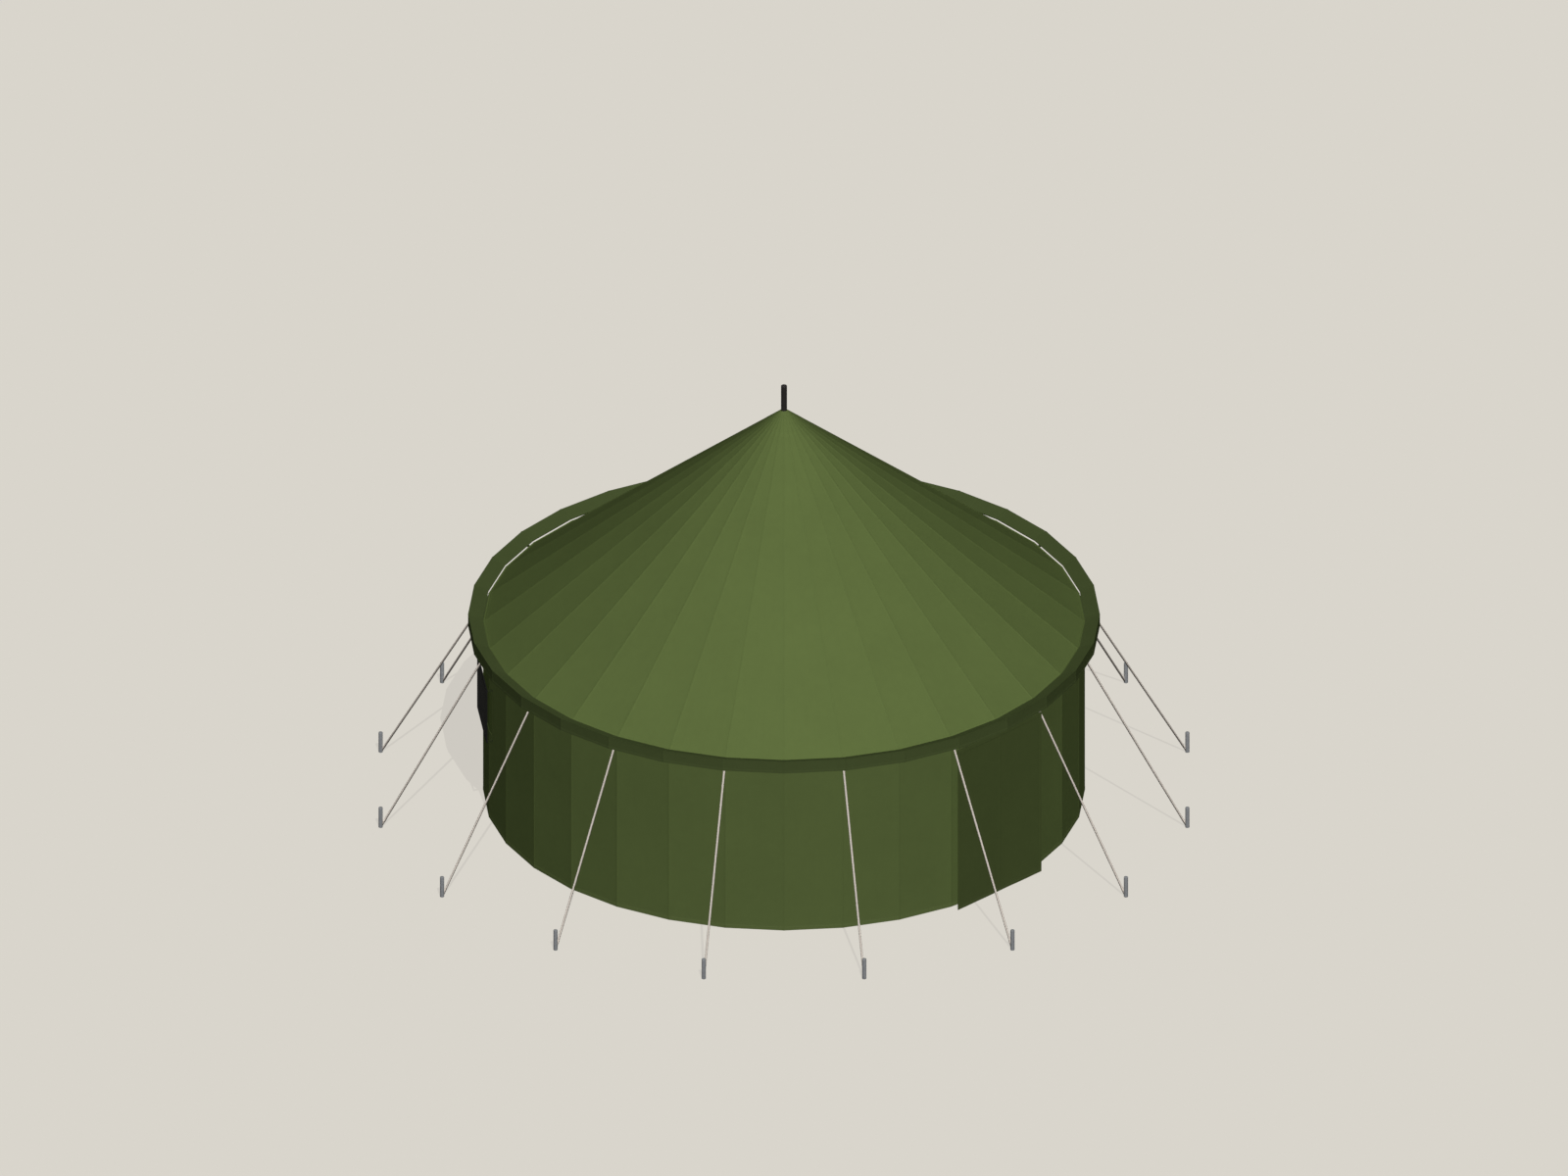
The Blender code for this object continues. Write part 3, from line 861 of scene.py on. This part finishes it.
def makeFlap():
    half, height, hem = flap["halfWidth"], flap["height"], hems["flap"]
    halfSeam = seam["width"] / 2
    sleeveFoot = height - flap["sleeve"]
    xs = spread(-half, half, flap["columns"]) + [0.0]
    for side in (-1, 1):
        xs += [side * (half - hem), side * (half - hem - hemFade),
               side * halfSeam, side * (halfSeam + hemFade)]
    xs = merged(xs, flap["leastStep"])
    heights = spread(0, height, flap["rows"]) + [hem, hem + hemFade, sleeveFoot,
                                                 sleeveFoot - 2 * hemFade]
    heights = merged(heights, flap["leastStep"])[::-1]

    def depth(c, r):
        # how far the face lies behind the front plane
        x, z = xs[c], heights[r]
        hemmed = hemRise(min(half - abs(x), z), hem, 1.0)
        raised = max(hemmed, seamRise(abs(x) / half, half) / seam["lift"])
        sleeve = hemRise(height - z, flap["sleeve"], 1.0)
        ripple = math.sin(5.1 * x + 0.9) + 0.6 * math.sin(9.3 * x + 1.7 * z)
        wave = flap["wave"] * (1 - z / height) ** 0.7 * (1 + ripple / 1.6)
        return (1 - sleeve) * (flap["hemLift"] * (1 - raised) + wave)

    def outer(c, r):
        return Vector((xs[c], flap["front"] + depth(c, r), heights[r]))

    def inner(c, r):
        sleeve = hemRise(height - heights[r], flap["sleeve"], 1.0)
        back = flap["front"] + depth(c, r) + flap["thickness"]
        return Vector((xs[c], back + sleeve * (flap["back"] - back), heights[r]))

    def cut(c, r, faceColumn):
        return (xs[c], height - heights[r])

    def edges(c, r):
        x, z = abs(xs[c]), heights[r]
        return (x, min(half - x, z, abs(sleeveFoot - z) + hem - flap["sleeveBand"]))

    panel = buildShell("doorFlap", len(xs), len(heights), outer, inner, cut, edges)
    dress(panel, "flap", "door_flap")
    print("door flap made")


makeFlap()


# Window nets: netting stretched in each frame over a dark sheet that stands in for the shade inside

def makeNet(name, node, side):
    outward, sideways = windowAxes(side)
    middle = outward * window["distance"] + Vector((0, 0, window["middleHeight"]))
    up = Vector((0, 0, 1))
    halfWidth = window["width"] / 2 - 2 * tent["seat"]
    halfHeight = window["height"] / 2 - 2 * tent["seat"]
    strand = window["strand"] / 2
    work = bmesh.new()

    def addBar(x0, x1, z0, z1, layer):
        verts = [work.verts.new(middle + sideways * x + up * z + outward * depth)
                 for depth in layer for x, z in ((x0, z0), (x1, z0), (x1, z1), (x0, z1))]
        for face in ((0, 1, 2, 3), (7, 6, 5, 4), (0, 4, 5, 1), (1, 5, 6, 2), (2, 6, 7, 3),
                     (3, 7, 4, 0)):
            work.faces.new([verts[i] for i in face])

    def strandPlaces(half, size):
        return spread(strand - half, half - strand, round(size / window["meshPitch"]))

    # the dark sheet that stands in for the shade inside the tent
    addBar(-halfWidth, halfWidth, -halfHeight, halfHeight, window["backing"])
    for x in strandPlaces(halfWidth, window["width"]):
        addBar(x - strand, x + strand, -halfHeight, halfHeight, window["uprights"])
    for z in strandPlaces(halfHeight, window["height"]):
        addBar(-halfWidth, halfWidth, z - strand, z + strand, window["crossStrands"])
    bmesh.ops.recalc_face_normals(work, faces=work.faces)
    net = meshObject(name, work)
    dress(net, "net", node + "_pane")


makeNet("windowNetLeft", "window_left", -1)
makeNet("windowNetRight", "window_right", 1)
print("window nets made")


# Guy ropes: three strands laid round each other and whipped near both ends, and a stake for each

rope = {
    "count": 16,
    "radius": 0.02,
    "footRadius": 6.835,        # the circle that the stakes stand on
    "start": 0.1503,            # from the roof's rim, along the rope
    "endGap": 0.002,            # its last ring keeps this off before it is fitted round the stake
    "pitch": 0.14,              # one full turn of the lay
    "ringsPerTurn": 12,
    "points": 18,
    "strand": 0.4641,           # radius of each of three touching strands, as a share
    "groove": 0.89,             # least radius, in the grooves, as a share of the radius
    "underFrom": 0.5,           # cosine of the angle from the top where the dark side starts
    "underRate": 2.5,           # and how fast it darkens from there
    "whipping": 0.06,
    "whippingInsets": (0.004, 0.002),   # from the rope's start and from its end
    "whippingRadius": 0.0205,
    "twine": 0.003,
    "twineDepth": 0.0009,
    "ridge": 50,                # degrees
}
stake = {
    "radius": 0.035,
    "height": 0.371,
    "sides": 32,
    "head": ((0.8, 0.0), (0.93, 0.0012), (0.985, 0.0035), (1.0, 0.0075)),   # share of radius, drop
    "footBevel": 0.002,
    "ridge": 40,                # degrees
}
ropeReach = rope["footRadius"] - tent["radius"]
ropeOut = ropeReach / math.hypot(ropeReach, tent["rimHeight"])      # slope of every rope
ropeDown = tent["rimHeight"] / math.hypot(ropeReach, tent["rimHeight"])


def strandRadius(angle):
    # outline of three touching strands
    third = 2 * math.pi / 3
    lean = (angle + third / 2) % third - third / 2
    centre = 1 - rope["strand"]
    aside = centre * math.sin(lean)
    reach = centre * math.cos(lean) + math.sqrt(max(0.0, rope["strand"] ** 2 - aside ** 2))
    return max(reach, rope["groove"])


def addRings(work, layers, axes, rings):
    # rings is a list of (place along the rope, radius of each point, twist)
    cutChart, grooveMark, underMark = layers
    start, along, across, sideways = axes
    points = rope["points"]
    grid = []
    for place, radii, twist in rings:
        centre = start + place * along
        row = []
        for i in range(points):
            angle = 2 * math.pi * i / points + twist
            spoke = math.cos(angle) * across + math.sin(angle) * sideways
            vert = work.verts.new(centre + radii[i] * spoke)
            # how deep in a groove each point lies, for the painted shade there
            vert[grooveMark] = max(0.0, 1 - radii[i] / max(radii)) / (1 - rope["groove"])
            # the painted shade of the underside, by the angle from the top
            vert[underMark] = held(rope["underRate"] * (rope["underFrom"] - math.cos(angle)))
            row.append(vert)
        grid.append(row)
    width = 2 * math.pi * rope["radius"]
    for r in range(len(grid) - 1):
        for i in range(points):
            j = (i + 1) % points
            face = work.faces.new((grid[r][i], grid[r][j], grid[r + 1][j], grid[r + 1][i]))
            face.smooth = True
            charts = ((i, r), (i + 1, r), (i + 1, r + 1), (i, r + 1))
            for loop, (a, b) in zip(face.loops, charts):
                loop[cutChart].uv = (width * a / points, rings[b][0])
    work.faces.new(grid[0][::-1])
    work.faces.new(grid[-1])
    return grid


def makeRope(number, outward):
    sideways = Vector((-outward.y, outward.x, 0))
    along = outward * ropeOut - Vector((0, 0, ropeDown))
    across = outward * ropeDown + Vector((0, 0, ropeOut))
    start = outward * tent["radius"] + Vector((0, 0, tent["rimHeight"]))
    axes = (start, along, across, sideways)
    reach = ropeReach - stake["radius"] - rope["whippingRadius"] * ropeDown
    end = reach / ropeOut - rope["endGap"]
    work = bmesh.new()
    layers = (work.loops.layers.uv.new("cut"), work.verts.layers.float.new("groove"),
              work.verts.layers.float.new("under"))

    points = rope["points"]
    radii = [rope["radius"] * strandRadius(2 * math.pi * i / points) for i in range(points)]
    count = math.ceil((end - rope["start"]) / rope["pitch"] * rope["ringsPerTurn"])
    lay = [(place, radii, 2 * math.pi * place / rope["pitch"] + number)
           for place in spread(rope["start"], end, count)]
    for vert in addRings(work, layers, axes, lay)[-1]:
        # the cut end fits round the stake
        aside = vert.co.dot(sideways)
        face = rope["footRadius"] - math.sqrt(stake["radius"] ** 2 - aside ** 2) - tent["seat"]
        vert.co += along * ((face - vert.co.dot(outward)) / ropeOut)

    length, (startInset, endInset) = rope["whipping"], rope["whippingInsets"]
    steps = 2 * round(length / rope["twine"])
    for low in (rope["start"] + startInset, end - length - endInset):
        wound = []
        for step in range(steps + 1):
            radius = rope["whippingRadius"] - (0.0 if step % 2 else rope["twineDepth"])
            wound.append((low + length * step / steps, [radius] * points, 0.0))
        addRings(work, layers, axes, wound)
    bmesh.ops.recalc_face_normals(work, faces=work.faces)
    line = meshObject("guyRope%02d" % (number + 1), work, rope["ridge"])
    dress(line, "rope", "guy_rope_%02d" % (number + 1))


def makeStake(number, outward):
    foot = outward * rope["footRadius"]
    radius, height, bevel = stake["radius"], stake["height"], stake["footBevel"]
    profile = [(0.0, height), *((share * radius, height - drop) for share, drop in stake["head"]),
               (radius, height / 2), (radius, bevel), (radius - bevel, 0.0), (0.0, 0.0)]
    angles = [2 * math.pi * i / stake["sides"] for i in range(stake["sides"])]
    work = bmesh.new()
    rows = []
    for r, z in profile:                # one vertex where the profile meets the axis
        rows.append([work.verts.new(foot + Vector((r * math.cos(a), r * math.sin(a), z)))
                     for a in (angles if r else angles[:1])])
    for upper, lower in zip(rows, rows[1:]):
        for i in range(stake["sides"]):
            j = (i + 1) % stake["sides"]
            corners = (upper[i % len(upper)], lower[i % len(lower)],
                       lower[j % len(lower)], upper[j % len(upper)])
            face = work.faces.new(list(dict.fromkeys(corners)))
            face.smooth = True
    bmesh.ops.recalc_face_normals(work, faces=work.faces)
    peg = meshObject("stake%02d" % (number + 1), work, stake["ridge"])
    dress(peg, "stake", "stake_%02d" % (number + 1))


for number in range(rope["count"]):
    outward = corner(doorPlace + 1 + 2 * number)
    makeRope(number, outward)
    makeStake(number, outward)
print("guy ropes and stakes made:", rope["count"])


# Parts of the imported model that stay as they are, in their finishes

keptParts = {
    "king_pole": ("pole", "pole_paint"),
    "king_pole_base": ("collar", "collar_steel"),
    "crown_collar": ("collar", "collar_steel"),
    "eave_hoop": ("hoop", "hoop_steel"),
    "door_rail": ("hoop", "hoop_steel"),
    "window_left_frame": ("frame", "window_paint"),
    "window_right_frame": ("frame", "window_paint"),
}
for nodeName, (finish, slotName) in keptParts.items():
    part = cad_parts[nodeName]
    for materialSlot in part.material_slots:
        materialSlot.material = finishes[finish]
print("kept parts finished:", len(keptParts))


# Studio: a pale glowing floor with a crisp shadow, and hard lamps that cast none on the tent

studio = {
    "floorRadius": 120.0,
    "floorSides": 64,
    "floorGlow": (0.617, 0.5906, 0.5395),       # in the shadow
    "floorColour": (0.04, 0.0389, 0.0334),      # what the floor's own lamp adds to it
    "ambient": 0.01,
    "backdrop": (0.694, 0.665, 0.604),
    "sunAngle": 0.02,                           # degrees, small for crisp shadows
}
lamps = {
    # turn from the camera and tilt in degrees, strength, what it lights ("tent" is all but the
    # floor), and whether it casts shadows. The key, fill and roof lamps' numbers come from a
    # least-squares fit to the brightness of the picture's flat sides, made by another program.
    "keyLamp": {"turn": -13.3, "tilt": 52.1, "strength": 1.61, "lights": "tent", "shadow": False},
    "fillLamp": {"turn": 31.3, "tilt": 31.6, "strength": 1.027, "lights": "tent", "shadow": False},
    "roofLamp": {"turn": 7.2, "tilt": -11.8, "strength": 0.868, "lights": "roof", "shadow": False},
    "backLamp": {"turn": 180.0, "tilt": -22.4, "strength": 1.6, "lights": "tent", "shadow": False},
    "backRoofLamp": {"turn": 180.0, "tilt": -22.4, "strength": 3.0, "lights": "roof",
                     "shadow": False},
    "floorLamp": {"turn": 10.3, "tilt": 52.0, "strength": 7.67, "lights": "floor", "shadow": True},
}


def makeFloor():
    work = bmesh.new()
    bmesh.ops.create_circle(work, cap_ends=True, segments=studio["floorSides"],
                            radius=studio["floorRadius"])
    floor = meshObject("studioFloor", work)
    floor.data.materials.append(newPaint("studioFloor").close({
        "Base Color": studio["floorColour"], "Roughness": 1.0, "Specular IOR Level": 0.0,
        "Emission Color": studio["floorGlow"], "Emission Strength": 1.0}))
    floor.visible_diffuse = False
    floor.visible_glossy = False
    floor.visible_transmission = False
    return floor


def makeLamps(floor):
    reach = {}
    for key, obj in (("floor", floor), ("roof", bpy.data.objects["roofCanopy"]), ("tent", floor)):
        reach[key] = bpy.data.collections.new(key + "Reach")
        reach[key].objects.link(obj)
    reach["tent"].collection_objects[0].light_linking.link_state = "EXCLUDE"
    for name, facts in lamps.items():
        data = bpy.data.lights.new(name, "SUN")
        data.energy = facts["strength"]
        data.angle = math.radians(studio["sunAngle"])
        data.use_shadow = facts["shadow"]
        lamp = addObject(name, data)
        lamp.visible_glossy = name == "keyLamp"
        lamp.rotation_mode = "QUATERNION"
        back = towards(camera["turn"] + facts["turn"], facts["tilt"])
        lamp.rotation_quaternion = back.to_track_quat("Z", "Y")
        lamp.light_linking.receiver_collection = reach[facts["lights"]]


def makeWorld():
    # the camera sees the backdrop, and the tent only a faint grey light
    world = bpy.data.worlds.new("studio")
    bpy.context.scene.world = world
    paint = Paint(world)
    seen = paint.wire("ShaderNodeLightPath", output="Is Camera Ray")
    dim = paint.wire("ShaderNodeBackground", None, {"Strength": studio["ambient"]})
    pale = paint.wire("ShaderNodeBackground", None, {"Color": studio["backdrop"]})
    sky = paint.wire("ShaderNodeMixShader", None, {0: seen, 1: dim, 2: pale})
    paint.node("ShaderNodeOutputWorld", None, {"Surface": sky})


makeLamps(makeFloor())
makeWorld()
bpy.context.scene.view_settings.view_transform = "Standard"
bpy.context.scene.view_settings.look = "None"
print("studio made")
